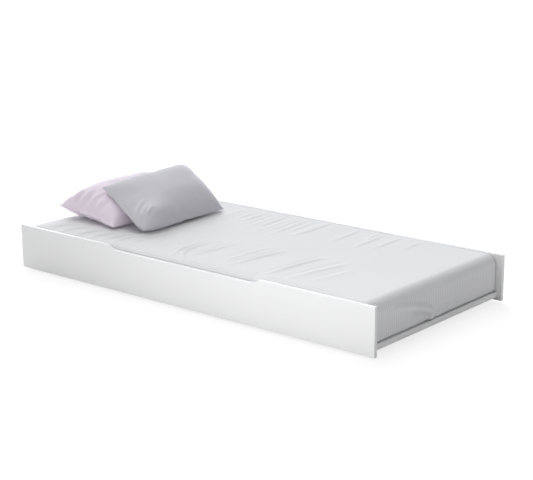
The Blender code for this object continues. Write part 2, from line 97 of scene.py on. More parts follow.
class ShaderBoard:
    """A material's node tree with short ways to add and join nodes."""

    def __init__(self, name: str) -> None:
        """Start a material that holds a Principled shader and its output."""
        self.material = bpy.data.materials.new(name)
        self.material.use_nodes = True
        self.nodes = self.material.node_tree.nodes
        self.links = self.material.node_tree.links
        self.shader = self.nodes["Principled BSDF"]

    def add(self, kind: str, values: Optional[dict] = None, **settings: object) -> bpy.types.Node:
        """Add a node.

        Args:
            kind: the node's type, without its ShaderNode prefix.
            values: input socket values by name or number.
            settings: the node's own settings.

        Returns:
            The new node.
        """
        node = self.nodes.new("ShaderNode" + kind)
        for key, value in settings.items():
            setattr(node, key, value)
        for key, value in (values or {}).items():
            node.inputs[key].default_value = value
        return node

    def join(self, source: bpy.types.NodeSocket, node: bpy.types.Node, socket: object) -> None:
        """Link an output socket to a node's input, by name or number."""
        self.links.new(source, node.inputs[socket])

    def constants(self, values: dict[str, float]) -> None:
        """Set the shader's own sockets that are the same all over the surface."""
        for name, value in values.items():
            self.shader.inputs[name].default_value = value

    def place(self, scale: Point = (1.0, 1.0, 1.0)) -> bpy.types.NodeSocket:
        """Object coordinates, stretched by a Mapping node.

        Args:
            scale: the pattern's repeats per metre along each axis.

        Returns:
            The mapped vector.
        """
        coordinates = self.add("TexCoord")
        mapping = self.add("Mapping", {"Scale": scale})
        self.join(coordinates.outputs["Object"], mapping, "Vector")
        return mapping.outputs["Vector"]

    def noise(self, vector: bpy.types.NodeSocket, scale: float, detail: float = 3.0,
              roughness: float = 0.5) -> bpy.types.NodeSocket:
        """A noise pattern on a vector.

        Args:
            vector: the coordinates.
            scale: how fine the pattern is.
            detail: how many finer layers it holds.
            roughness: how strong those layers are.

        Returns:
            The pattern, from 0 to 1.
        """
        node = self.add("TexNoise", {"Scale": scale, "Detail": detail, "Roughness": roughness})
        self.join(vector, node, "Vector")
        return node.outputs["Fac"]

    def spread(self, value: bpy.types.NodeSocket, low: float, high: float, start: float = 0.3,
               stop: float = 0.7) -> bpy.types.NodeSocket:
        """Turn a pattern's middle range into values from low to high.

        Args:
            value: the pattern.
            low: the result where the range starts.
            high: the result where it stops.
            start: the pattern's value where the range starts.
            stop: the pattern's value where it stops.

        Returns:
            The spread value.
        """
        node = self.add("MapRange", {"From Min": start, "From Max": stop, "To Min": low,
                                     "To Max": high})
        self.join(value, node, "Value")
        return node.outputs["Result"]

    def sums(self, operation: str, first: object, second: object) -> bpy.types.NodeSocket:
        """A Math node on two sockets or numbers.

        Args:
            operation: the node's operation.
            first: its first term.
            second: its second term, which some operations pass over.

        Returns:
            The result.
        """
        node = self.add("Math", operation=operation)
        for index, term in enumerate((first, second)):
            if isinstance(term, (int, float)):
                node.inputs[index].default_value = term
            else:
                self.join(term, node, index)
        return node.outputs["Value"]

    def blend(self, share: bpy.types.NodeSocket, first: Colour, second: Colour) -> bpy.types.NodeSocket:
        """A colour between two.

        Args:
            share: how much of the second colour, from 0 to 1.
            first: the colour at 0.
            second: the colour at 1.

        Returns:
            The blended colour.
        """
        node = self.add("Mix", data_type="RGBA", clamp_factor=True)
        self.join(share, node, MIX_SHARE)
        node.inputs[MIX_FIRST].default_value = (*first, 1.0)
        node.inputs[MIX_SECOND].default_value = (*second, 1.0)
        return node.outputs[MIX_COLOUR]

    def bump(self, height: bpy.types.NodeSocket, strength: float, distance: float) -> None:
        """Put a height pattern on the shader as bump, over any bump that is there.

        Args:
            height: the pattern.
            strength: how strongly it shows.
            distance: its real height in metres.
        """
        node = self.add("Bump", {"Strength": strength, "Distance": distance})
        self.join(height, node, "Height")
        before = self.shader.inputs["Normal"]
        if before.is_linked:
            self.links.new(before.links[0].from_socket, node.inputs["Normal"])
        self.links.new(node.outputs["Normal"], before)

    def finish(self, colour: bpy.types.NodeSocket,
               roughness: Optional[bpy.types.NodeSocket] = None) -> bpy.types.Material:
        """Join the colour and roughness patterns to the shader.

        Args:
            colour: the surface's colour.
            roughness: its roughness, where that varies.

        Returns:
            The finished material.
        """
        self.join(colour, self.shader, "Base Color")
        if roughness is not None:
            self.join(roughness, self.shader, "Roughness")
        return self.material


@dataclass(frozen=True)
class Lacquer:
    """Sprayed white lacquer on board: even, satin, with a faint orange peel."""

    colour: Colour = (0.820, 0.822, 0.826)
    shade: Colour = (0.800, 0.801, 0.806)
    roughness: Range = (0.50, 0.58)
    peel_scale: float = 620.0
    peel_depth: float = 0.0002
    drift_scale: float = 2.4
    wear_scale: float = 34.0

    def material(self) -> bpy.types.Material:
        """Build the finish.

        Returns:
            The material.
        """
        board = ShaderBoard("white_lacquer")
        place = board.place()
        peel = board.noise(place, self.peel_scale, 2.0)
        drift = board.noise(place, self.drift_scale, 2.0)
        board.constants({"Coat Weight": 0.04, "Coat Roughness": 0.30, "Specular IOR Level": 0.32})
        board.bump(peel, 0.10, self.peel_depth)
        rough = board.spread(board.noise(place, self.wear_scale), *self.roughness)
        return board.finish(board.blend(drift, self.colour, self.shade), rough)


@dataclass(frozen=True)
class Pine:
    """Planed, unvarnished pine with growth rings stretched along the board."""

    grain: Grain
    light: Colour = (0.74, 0.585, 0.395)
    dark: Colour = (0.585, 0.410, 0.235)
    roughness: Range = (0.52, 0.70)
    along_scale: float = 1.4
    across_scale: float = 26.0
    fibre_fineness: float = 12.0
    ring_share: float = 0.62

    def material(self) -> bpy.types.Material:
        """Build the finish.

        Returns:
            The material.
        """
        board = ShaderBoard("pine_" + self.grain.name.lower())
        along, across = self.along_scale, self.across_scale
        stretch = (along, across, across) if self.grain is Grain.ALONG_BED else (across, along, across)
        place = board.place(stretch)
        rings = board.add("TexWave", {"Scale": 0.55, "Distortion": 5.0, "Detail": 3.0,
                                      "Detail Scale": 1.4}, bands_direction="DIAGONAL")
        board.join(place, rings, "Vector")
        fine = tuple(self.fibre_fineness * part for part in stretch)
        fibre = board.noise(board.place(fine), 1.0, 4.0, 0.6)
        tone = board.sums("ADD", board.sums("MULTIPLY", rings.outputs["Fac"], self.ring_share),
                          board.sums("MULTIPLY", fibre, 1 - self.ring_share))
        board.bump(fibre, 0.25, 0.0003)
        board.constants({"Specular IOR Level": 0.35})
        return board.finish(board.blend(board.spread(tone, 0.0, 1.0, 0.25, 0.8), self.light, self.dark),
                            board.spread(fibre, *self.roughness))


@dataclass(frozen=True)
class Zinc:
    """Bright zinc plating on pressed steel."""

    colour: Colour = (0.66, 0.67, 0.69)
    shade: Colour = (0.50, 0.51, 0.54)
    roughness: Range = (0.24, 0.46)
    spangle_scale: float = 260.0
    rub_scale: Point = (300.0, 300.0, 1500.0)

    def material(self) -> bpy.types.Material:
        """Build the finish.

        Returns:
            The material.
        """
        board = ShaderBoard("zinc_plate")
        place = board.place()
        spangle = board.add("TexVoronoi", {"Scale": self.spangle_scale})
        board.join(place, spangle, "Vector")
        rub = board.noise(board.place(self.rub_scale), 1.0, 2.0)
        board.constants({"Metallic": 1.0})
        board.bump(rub, 0.12, 0.0001)
        return board.finish(board.blend(spangle.outputs["Distance"], self.colour, self.shade),
                            board.spread(rub, *self.roughness))


@dataclass(frozen=True)
class Moulded:
    """A moulded part with a fine eroded texture."""

    name: str
    colour: Colour
    dust: Colour
    roughness: Range
    texture_scale: float = 1800.0
    dust_scale: float = 90.0
    most_dust: float = 0.55

    def material(self) -> bpy.types.Material:
        """Build the finish.

        Returns:
            The material.
        """
        board = ShaderBoard(self.name)
        place = board.place()
        texture = board.noise(place, self.texture_scale, 2.0)
        dust = board.spread(board.noise(place, self.dust_scale, 4.0, 0.65), 0.0, self.most_dust, 0.45, 0.75)
        board.bump(texture, 0.20, 0.0001)
        return board.finish(board.blend(dust, self.colour, self.dust),
                            board.spread(texture, *self.roughness))


@dataclass(frozen=True)
class Webbing:
    """Woven tape with ribs across its length, with painted shade in the hollows of its weave."""

    colour: Colour = (0.74, 0.73, 0.69)
    # shade: the darker colour painted into the weave's hollows, as painted shade
    shade: Colour = (0.58, 0.57, 0.53)
    roughness: Range = (0.75, 0.90)
    rib_scale: float = 140.0
    edge_scale: float = 75.0
    rib_depth: float = 0.0004

    def material(self) -> bpy.types.Material:
        """Build the finish.

        Returns:
            The material.
        """
        board = ShaderBoard("slat_webbing")
        ribs = board.add("TexWave", {"Scale": self.rib_scale, "Distortion": 0.6}, bands_direction="X")
        board.join(board.place(), ribs, "Vector")
        edge = board.add("TexWave", {"Scale": self.edge_scale, "Distortion": 0.3}, bands_direction="Y")
        board.join(board.place(), edge, "Vector")
        weave = board.sums("MULTIPLY", ribs.outputs["Fac"], edge.outputs["Fac"])
        board.bump(weave, 0.6, self.rib_depth)
        # the colour runs from shade in the weave's low hollows to colour on its raised ribs: painted shade
        return board.finish(board.blend(weave, self.shade, self.colour),
                            board.spread(weave, *self.roughness))


def weave_height(board: ShaderBoard, vector: bpy.types.NodeSocket, pace: float) -> bpy.types.NodeSocket:
    """A plain weave's height: ridges of warp and of weft.

    Args:
        board: the material being built.
        vector: coordinates in metres.
        pace: how closely the ridges follow one another, in radians per metre.

    Returns:
        The height, from 0 to 1.
    """
    ridges = []
    for direction in ("X", "Y"):
        wave = board.add("TexWave", {"Scale": pace / WAVE_PACE, "Distortion": 0.5},
                         bands_direction=direction)
        board.join(vector, wave, "Vector")
        ridges.append(wave.outputs["Fac"])
    return board.sums("MAXIMUM", *ridges)


@dataclass(frozen=True)
class StripedCotton:
    """White cotton with fine grey stripes that run along the bed, printed on the flat cloth."""

    pitch: float = 0.0125
    stripe_share: float = 0.34
    ground: Colour = (0.752, 0.753, 0.762)
    stripe: Colour = (0.612, 0.615, 0.632)
    roughness: Range = (0.82, 0.92)
    edge_blur: float = 0.06
    wander: float = 0.0016
    wander_scale: float = 6.0
    fray_scale: float = 900.0
    crinkle_scale: float = 46.0
    weave_pace: float = 1600.0

    def material(self) -> bpy.types.Material:
        """Build the finish.

        Returns:
            The material.
        """
        board = ShaderBoard("striped_cotton")
        cloth = board.add("UVMap", uv_map="cloth")
        split = board.add("SeparateXYZ")
        board.join(cloth.outputs["UV"], split, "Vector")
        drift = board.noise(cloth.outputs["UV"], self.wander_scale, 2.0)
        shifted = board.sums("ADD", split.outputs["Y"], board.sums("MULTIPLY", drift, self.wander))
        phase = board.sums("FRACT", board.sums("DIVIDE", shifted, self.pitch), 0.0)
        centre = board.sums("ABSOLUTE", board.sums("SUBTRACT", phase, 0.5), 0.0)
        edge = self.stripe_share / 2
        band = board.spread(centre, 1.0, 0.0, edge - self.edge_blur, edge + self.edge_blur)
        fray = board.spread(board.noise(cloth.outputs["UV"], self.fray_scale, 2.0), 0.55, 1.0)
        crinkle = board.noise(cloth.outputs["UV"], self.crinkle_scale, 3.0, 0.6)
        board.constants({"Sheen Weight": 0.10, "Sheen Roughness": 0.5, "Specular IOR Level": 0.25})
        board.bump(crinkle, 0.16, 0.0010)
        board.bump(weave_height(board, cloth.outputs["UV"], self.weave_pace), 0.10, 0.0002)
        colour = board.blend(board.sums("MULTIPLY", band, fray), self.ground, self.stripe)
        return board.finish(colour, board.spread(crinkle, *self.roughness))


@dataclass(frozen=True)
class PlainCotton:
    """Plain dyed cotton of a pillow case, slightly mottled, with soft creases."""

    name: str
    colour: Colour
    shade: Colour
    sheen_tint: Colour = (0.90, 0.94, 1.0)
    roughness: Range = (0.82, 0.92)
    fleck_scale: float = 420.0
    cloud_scale: float = 14.0
    crease_scale: float = 26.0
    crease_depth: float = 0.0022
    weave_pace: float = 1500.0

    def material(self) -> bpy.types.Material:
        """Build the finish.

        Returns:
            The material.
        """
        board = ShaderBoard(self.name)
        place = board.place()
        fleck = board.noise(place, self.fleck_scale, 2.0)
        cloud = board.noise(place, self.cloud_scale, 3.0)
        mottle = board.sums("ADD", board.sums("MULTIPLY", fleck, 0.5), board.sums("MULTIPLY", cloud, 0.5))
        crease = board.noise(place, self.crease_scale, 4.0, 0.55)
        board.constants({"Sheen Weight": 0.55, "Sheen Roughness": 0.40, "Specular IOR Level": 0.25})
        board.shader.inputs["Sheen Tint"].default_value = (*self.sheen_tint, 1.0)
        board.bump(crease, 0.30, self.crease_depth)
        board.bump(weave_height(board, place, self.weave_pace), 0.25, 0.0002)
        return board.finish(board.blend(board.spread(mottle, 0.0, 1.0), self.colour, self.shade),
                            board.spread(crease, *self.roughness))


@dataclass(frozen=True)
class Ticking:
    """Knitted mattress cover, quilted in small diamonds."""

    colour: Colour = (0.80, 0.79, 0.765)
    shade: Colour = (0.71, 0.70, 0.67)
    roughness: Range = (0.84, 0.94)
    quilt_scale: float = 16.0
    quilt_depth: float = 0.006
    knit_scale: float = 1300.0

    def material(self) -> bpy.types.Material:
        """Build the finish.

        Returns:
            The material.
        """
        board = ShaderBoard("mattress_ticking")
        place = board.place()
        quilt = board.add("TexVoronoi", {"Scale": self.quilt_scale, "Randomness": 0.0}, feature="SMOOTH_F1")
        board.join(place, quilt, "Vector")
        knit = board.noise(place, self.knit_scale, 2.0)
        board.constants({"Sheen Weight": 0.3, "Specular IOR Level": 0.2})
        board.bump(quilt.outputs["Distance"], 0.5, self.quilt_depth)
        board.bump(knit, 0.25, 0.0003)
        return board.finish(board.blend(quilt.outputs["Distance"], self.colour, self.shade),
                            board.spread(knit, *self.roughness))


# --------------------------------------------------------------------------- mesh helpers


def mesh_object(name: str, shape: bmesh.types.BMesh, smooth_angle: float = 40.0) -> bpy.types.Object:
    """Make an object from a bmesh, with its normals out and its corners sharp.

    Args:
        name: the piece's name.
        shape: the bmesh, which is freed.
        smooth_angle: corners above this many degrees stay sharp.

    Returns:
        The object, at the origin.
    """
    mesh = bpy.data.meshes.new(name)
    shape.to_mesh(mesh)
    shape.free()
    mesh.shade_smooth()
    mesh.set_sharp_from_angle(angle=math.radians(smooth_angle))
    item = bpy.data.objects.new(name, mesh)
    bpy.context.scene.collection.objects.link(item)
    return item


def read_points(mesh: bpy.types.Mesh) -> np.ndarray:
    """Read where the mesh's vertices are.

    Args:
        mesh: the mesh.

    Returns:
        One row of (x, y, z) for each vertex.
    """
    flat = np.empty(len(mesh.vertices) * 3, np.float64)
    mesh.vertices.foreach_get("co", flat)
    return flat.reshape(-1, 3)


def write_points(mesh: bpy.types.Mesh, points: np.ndarray) -> None:
    """Move the mesh's vertices to new places."""
    mesh.vertices.foreach_set("co", points.astype(np.float32).ravel())
    mesh.update()


def read_normals(mesh: bpy.types.Mesh) -> np.ndarray:
    """Read the mesh's vertex normals.

    Args:
        mesh: the mesh.

    Returns:
        One row of (x, y, z) for each vertex.
    """
    flat = np.empty(len(mesh.vertices) * 3, np.float32)
    mesh.vertex_normals.foreach_get("vector", flat)
    return flat.reshape(-1, 3).astype(np.float64)


def dress(item: bpy.types.Object, material: bpy.types.Material) -> None:
    """Give an object one material, in the slots it has or in a first one.

    Args:
        item: the object.
        material: its finish.
    """
    if not item.material_slots:
        item.data.materials.append(material)
    for slot in item.material_slots:
        slot.material = material


def clean_spin(profile: Sequence[tuple[float, float]], steps: int) -> bmesh.types.BMesh:
    """Turn a closed profile into a ring about the X axis.

    Args:
        profile: its (along X, radius) points in order.
        steps: how many facets the ring has.

    Returns:
        The ring, with its normals out.
    """
    shape = bmesh.new()
    ring = [shape.verts.new((along, radius, 0.0)) for along, radius in profile]
    for index, vert in enumerate(ring):
        shape.edges.new((vert, ring[(index + 1) % len(ring)]))
    bmesh.ops.spin(shape, geom=shape.verts[:] + shape.edges[:], cent=(0.0, 0.0, 0.0),
                   axis=(1.0, 0.0, 0.0), angle=2 * math.pi, steps=steps, use_merge=True)
    bmesh.ops.remove_doubles(shape, verts=shape.verts, dist=MERGE)
    bmesh.ops.recalc_face_normals(shape, faces=shape.faces)
    return shape


def mirrored(half: Sequence[tuple[float, float]]) -> list[tuple[float, float]]:
    """The same half profile on the other side of the ring's middle, from its end back."""
    return [(-along, radius) for along, radius in reversed(half)]


# --------------------------------------------------------------------------- soft shapes


def ease(share: np.ndarray) -> np.ndarray:
    """A share from 0 to 1 that leaves 0 and meets 1 gently."""
    return share * share * (3 - 2 * share)


def ramp(value: np.ndarray, start: float, width: float) -> np.ndarray:
    """A share that rises from 0 at a start to 1 a width later, and stays there."""
    return np.clip((value - start) / width, 0.0, 1.0)


@dataclass(frozen=True)
class Fold:
    """A soft ridge in cloth along a smooth line, with a shallow valley on one side.

    The valley's place and breadth and the ridge's reach are in widths of the ridge.
    """

    line: tuple[tuple[float, float], ...]
    height: float
    width: float
    valley: float = 0.55
    valley_place: float = 1.6
    valley_breadth: float = 0.9
    reach: float = 3.6
    taper: float = 0.6
    steps: int = 12

    def path(self) -> np.ndarray:
        """Work out points along the fold's smooth line, by Catmull-Rom.

        Returns:
            The points, in rows.
        """
        knots = [np.array(point) for point in self.line]
        knots = [2 * knots[0] - knots[1]] + knots + [2 * knots[-1] - knots[-2]]
        points = []
        for index in range(1, len(knots) - 2):
            before, first, second, after = knots[index - 1:index + 3]
            for step in range(self.steps):
                t = step / self.steps
                points.append(0.5 * (2 * first + (second - before) * t
                                     + (2 * before - 5 * first + 4 * second - after) * t ** 2
                                     + (3 * first - before - 3 * second + after) * t ** 3))
        points.append(knots[-2])
        return np.array(points)

    def rise(self, flat: np.ndarray) -> np.ndarray:
        """How far each point rises.

        Args:
            flat: places on the plane that the fold is drawn on.

        Returns:
            One height for each point.
        """
        path = self.path()
        reach = self.reach * self.width
        near = np.all((flat > path.min(0) - reach) & (flat < path.max(0) + reach), axis=1)
        result = np.zeros(len(flat))
        some = flat[near]
        best = np.full(len(some), np.inf)
        side = np.zeros(len(some))
        share = np.zeros(len(some))
        for index in range(len(path) - 1):
            start, run = path[index], path[index + 1] - path[index]
            t = np.clip((some - start) @ run / (run @ run), 0.0, 1.0)
            gap = some - (start + t[:, None] * run)
            distance = np.linalg.norm(gap, axis=1)
            closer = distance < best
            best[closer] = distance[closer]
            side[closer] = (gap[:, 0] * run[1] - gap[:, 1] * run[0])[closer]
            share[closer] = (index + t[closer]) / (len(path) - 1)
        taper = np.sin(np.pi * np.clip(share, 0.0, 1.0)) ** self.taper
        past = np.where((share <= 0.0) | (share >= 1.0), 0.0, 1.0)
        signed = np.sign(side) * best / self.width
        valley = np.exp(-((signed - self.valley_place) / self.valley_breadth) ** 2)
        ridge = np.exp(-signed ** 2) - self.valley * valley
        result[near] = self.height * taper * past * ridge
        return result


def apply_folds(mesh: bpy.types.Mesh, folds: Sequence[Fold], axes: tuple[int, int],
                facing: Point) -> None:
    """Raise folds on the part of a mesh that faces one way.

    Args:
        mesh: the mesh to shape.
        folds: folds drawn on a plane.
        axes: the plane's two coordinates, by number.
        facing: the plane's outward direction.
    """
    points, normals = read_points(mesh), read_normals(mesh)
    weight = ramp(normals @ np.array(facing), 0.15, 0.45)
    flat = points[:, list(axes)]
    rise = np.zeros(len(points))
    for fold in folds:
        rise += fold.rise(flat)
    write_points(mesh, points + (rise * weight)[:, None] * normals)


def smooth_noise(points: np.ndarray, scale: float, seed: int) -> np.ndarray:
    """A slow wavy field from about -1 to 1, from a few seeded sine waves.

    Args:
        points: the places.
        scale: about how many waves there are in a metre.
        seed: picks the waves.

    Returns:
        One value for each place.
    """
    random = np.random.default_rng(seed)
    field_sum = np.zeros(len(points))
    count = 7
    for _ in range(count):
        direction = random.normal(size=3)
        direction /= np.linalg.norm(direction)
        wave = scale * random.uniform(0.6, 1.5)
        field_sum += np.sin(points @ direction * wave * 2 * math.pi + random.uniform(0, 6.28))
    return field_sum / math.sqrt(count * 2)


@dataclass(frozen=True)
class SlabWrap:
    """Maps flat cloth onto a mattress: its top, its round edges, its sides and a short tuck below."""

    half_length: float
    half_width: float
    top: float
    hem: float
    end_radius: float
    front_radius: float
    back_radius: float
    corner_radius: float
    tuck_radius: float
    tuck_angle: float = 1.2

    def upright(self, radius: float) -> float:
        """Height of the straight part of a side, under an edge of this radius."""
        return self.top - radius - self.hem - self.tuck_radius

    def fall(self, radius: float) -> float:
        """Cloth length from the flat top's edge to the hem, over an edge of this radius."""
        return radius * math.pi / 2 + self.upright(radius) + self.tuck_radius * self.tuck_angle

    def reach(self, radius: float, half: float) -> float:
        """Cloth length from the bed's middle to the hem, over an edge of this radius."""
        return half - radius + self.fall(radius)

    @property
    def flat_size(self) -> tuple[float, float]:
        """The cloth's cut size, along and across the bed."""
        sides = (self.reach(radius, self.half_width) for radius in (self.front_radius, self.back_radius))
        return 2 * self.reach(self.end_radius, self.half_length), sum(sides)

    @property
    def flat_middle(self) -> float:
        """Where the cloth's own middle lies across the bed, as its two sides differ."""
        back = self.reach(self.back_radius, self.half_width)
        return (back - self.reach(self.front_radius, self.half_width)) / 2

    def profile(self, part: np.ndarray, radius: np.ndarray) -> tuple[np.ndarray, np.ndarray]:
        """Where cloth past the core lies.

        Args:
            part: shares of the fall, from 0 at the flat top to 1 at the hem.
            radius: the edge's radius for each.

        Returns:
            How far out and how far down it lies.
        """
        arc = radius * math.pi / 2
        upright = self.upright(radius)
        run = part * self.fall(radius)
        turn = np.clip(run / radius, 0.0, math.pi / 2)
        out = radius * np.sin(turn)
        down = radius * (1 - np.cos(turn)) + np.clip(run - arc, 0.0, upright)
        under = np.clip((run - arc - upright) / self.tuck_radius, 0.0, self.tuck_angle)
        out = out - self.tuck_radius * (1 - np.cos(under))
        down = down + self.tuck_radius * np.sin(under)
        return out, down

    def place(self, flat: np.ndarray) -> np.ndarray:
        """Wrap flat points round the slab.

        Args:
            flat: rows of (along, across) on the cloth.

        Returns:
            Rows of (x, y, z).
        """
        side_radius = np.where(flat[:, 1] < 0, self.front_radius, self.back_radius)
        inner = np.stack([np.full(len(flat), self.half_length - self.end_radius),
                          self.half_width - side_radius], 1)
        falls = np.stack([np.full(len(flat), self.fall(self.end_radius)), self.fall(side_radius)], 1)
        past = np.clip(np.abs(flat) - inner, 0.0, None) / falls
        part = past.max(1)
        safe = np.maximum(part, TINY)
        endward = past[:, 0] >= past[:, 1]
        share = np.where(endward, 0.5 * past[:, 1] / safe, 1 - 0.5 * past[:, 0] / safe)
        edge = self.end_radius + (side_radius - self.end_radius) * ease(share)
        _, down = self.profile(part, edge)
        reach = np.minimum(np.abs(flat), inner)
        end_out, _ = self.profile(part, np.full_like(part, self.end_radius))
        side_out, _ = self.profile(part, side_radius)
        corner = np.minimum(np.minimum(end_out, side_out), self.corner_radius)
        straight_y = side_out - corner
        straight_x = end_out - corner
        arc = corner * math.pi / 2
        travel = share * (straight_y + arc + straight_x)
        angle = np.clip((travel - straight_y) / np.maximum(corner, TINY), 0.0, math.pi / 2)
        back = np.clip(travel - straight_y - arc, 0.0, None)
        shift_x = straight_x + corner * np.cos(angle) - back
        shift_y = np.minimum(travel, straight_y) + corner * np.sin(angle)
        signs = np.where(flat < 0, -1.0, 1.0)
        x = signs[:, 0] * (reach[:, 0] + shift_x)
        y = signs[:, 1] * (reach[:, 1] + shift_y)
        return np.stack([x, y, self.top - down], 1)


@dataclass(frozen=True)
class FrontSlump:
    """How the bed's top falls away toward the front, most of all at the finger cut-out."""

    width: float = 0.080
    edge_drop: float = 0.004
    cutout_drop: float = 0.0125
    run_out: float = 0.050
    depth: float = 0.060

    def lower(self, points: np.ndarray, wrap: SlabWrap) -> np.ndarray:
        """Lower the front of the top.

        Args:
            points: places on a wrapped slab.
            wrap: the slab.

        Returns:
            The lowered places.
        """
        _, high = CUTOUT["box_m"]
        along = np.abs(points[:, 0])
        near = ramp(-points[:, 1], wrap.half_width - self.width, self.width)
        open_part = 1 - ramp(along, high[0], self.run_out)
        ends = 1 - ramp(along, wrap.half_length - 2 * self.width, self.width)
        upper = ramp(points[:, 2], wrap.top - self.depth, self.depth)
        drop = (self.edge_drop + (self.cutout_drop - self.edge_drop) * ease(open_part)) * near * near
        lowered = points.copy()
        lowered[:, 2] -= drop * ends * upper
        return lowered


def wrapped_mesh(name: str, wrap: SlabWrap, spacing: float) -> bpy.types.Object:
    """Cut a flat cloth as a grid and wrap it round a slab, keeping its flat place as a UV map.

    Args:
        name: the piece's name.
        wrap: the slab to wrap.
        spacing: the grid's spacing.

    Returns:
        The wrapped cloth, open below.
    """
    length, width = wrap.flat_size
    shape = bmesh.new()
    bmesh.ops.create_grid(shape, x_segments=round(length / spacing),
                          y_segments=round(width / spacing), size=0.5)
    bmesh.ops.scale(shape, vec=Vector((length, width, 1.0)), verts=shape.verts)
    bmesh.ops.translate(shape, vec=Vector((0.0, wrap.flat_middle, 0.0)), verts=shape.verts)
    layer = shape.loops.layers.uv.new("cloth")
    for face in shape.faces:
        for loop in face.loops:
            loop[layer].uv = loop.vert.co.xy
    item = mesh_object(name, shape, 80.0)
    flat = read_points(item.data)[:, :2]
    write_points(item.data, FrontSlump().lower(wrap.place(flat), wrap))
    return item


# --------------------------------------------------------------------------- sub-assemblies


@dataclass
class PanelFrame:
    """The lacquered front and back panels, the end rails and the fittings that join them."""

    lacquered: tuple[str, ...] = ("front_panel", "back_panel", "head_rail", "foot_rail")
    fittings: tuple[str, ...] = ("cam_disc_", "cam_bolt_", "bracket_screw_", "caster_bracket_",
                                 "wheel_axle_")

    def build(self, finishes: "Finishes") -> list[str]:
        """Dress the frame's own parts.

        Args:
            finishes: the bed's materials.

        Returns:
            The parts' names.
        """
        for name in self.lacquered:
            dress(frame["nodes"][name], finishes.lacquer)
        metal = [name for name in frame["nodes"] if name.startswith(self.fittings)]
        for name in metal:
            dress(frame["nodes"][name], finishes.zinc)
        return list(self.lacquered) + metal


@dataclass
class SlatBase:
    """Pine slats on two cleats, spaced by two tapes."""

    def build(self, finishes: "Finishes") -> list[str]:
        """Dress the slats, the cleats and the tapes.

        Args:
            finishes: the bed's materials.

        Returns:
            The parts' names.
        """
        done = []
        for name, node in frame["nodes"].items():
            if name.startswith("slat_"):
                dress(node, finishes.pine_across)
            elif name.endswith("_cleat"):
                dress(node, finishes.pine_along)
            elif name.endswith("_slat_tape"):
                dress(node, finishes.webbing)
            else:
                continue
            done.append(name)
        return done


@dataclass
class CasterWheel:
    """One wheel: a ribbed nylon hub and a rubber tyre with rounded shoulders."""

    side: Side
    end: End
    steps: int = 64
    ribs: int = 6
    rib_width: float = 0.0016
    axle_bore: float = 0.0034
    shoulder: float = 0.0022
    shoulder_steps: int = 4
    groove_width: float = 0.0012
    groove_depth: float = 0.0007

    @property
    def corner(self) -> str:
        """The corner's name, such as front_head."""
        return self.side.name.lower() + "_" + self.end.name.lower()

    def measure(self) -> tuple[Vector, float, float]:
        """Read the wheel's place and size from the frame.

        Returns:
            The axle's middle, the tyre's outer radius and half its width.
        """
        low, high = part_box("wheel_tyre_" + self.corner)
        joint = next(j for j in frame["joints"] if j["child"] == "wheel_" + self.corner)
        middle = Vector(joint["pos_m"])
        return middle, middle.z - low.z, (high.x - low.x) / 2

    def tyre(self, radius: float, half: float) -> bmesh.types.BMesh:
        """The tyre's ring: round shoulders and two fine grooves in its tread.

        Args:
            radius: its outer radius.
            half: half its width.

        Returns:
            The ring.
        """
        inner = radius * 0.80
        side = [(-half, inner), (-half, radius - self.shoulder)]
        for step in range(1, self.shoulder_steps + 1):
            angle = math.pi / 2 * step / self.shoulder_steps
            side.append((-half + self.shoulder * (1 - math.cos(angle)),
                         radius - self.shoulder * (1 - math.sin(angle))))
        grooves = []
        for middle in (-half * 0.3, half * 0.3):
            grooves += [(middle - self.groove_width / 2, radius), (middle, radius - self.groove_depth),
                        (middle + self.groove_width / 2, radius)]
        return clean_spin(side + grooves + mirrored(side), self.steps)

    def hub(self, radius: float, half: float) -> bmesh.types.BMesh:
        """The hub's ring with a sunk web and raised ribs on both faces.

        Args:
            radius: its outer radius.
            half: half the width of its seat in the tyre.

        Returns:
            The hub.
        """
        rim_in, boss, reach = radius * 0.82, radius * 0.40, half * 1.30
        sunk, lip = half * 0.38, half * 0.90
        slope = 0.0006
        side = [(-reach, self.axle_bore), (-reach, boss), (-sunk, boss + slope), (-sunk, rim_in - slope),
                (-lip, rim_in), (-lip, radius)]
        shape = clean_spin(side + mirrored(side), self.steps)
        size = Vector((lip - sunk, rim_in - boss + 0.001, self.rib_width))
        for number in range(self.ribs):
            for face in (-1, 1):
                verts = bmesh.ops.create_cube(shape, size=1.0)["verts"]
                bmesh.ops.scale(shape, vec=size, verts=verts)
                bmesh.ops.translate(shape, verts=verts,
                                    vec=Vector((face * (lip + sunk) / 2, (rim_in + boss) / 2, 0.0)))
                bmesh.ops.rotate(shape, verts=verts, cent=Vector((0.0, 0.0, 0.0)),
                                 matrix=Matrix.Rotation(2 * math.pi * number / self.ribs, 3, "X"))
        return shape

    def build(self, finishes: "Finishes") -> list[str]:
        """Build the wheel's two pieces on their own body.

        Args:
            finishes: the bed's materials.

        Returns:
            The pieces' names.
        """
        middle, radius, half = self.measure()
        body = "wheel_" + self.corner
        made = []
        parts = (("tyre", self.tyre(radius, half), finishes.rubber, "black_rubber"),
                 ("hub", self.hub(radius * 0.78, half * 0.9), finishes.nylon, "grey_nylon"))
        for kind, shape, material, slot in parts:
            bmesh.ops.translate(shape, vec=middle, verts=shape.verts)
            item = mesh_object(f"caster_{kind}_{self.corner}", shape, 35.0)
            dress(item, material)
            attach(item, body)
            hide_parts(f"wheel_{kind}_{self.corner}")
            made.append(item.name)
        return made


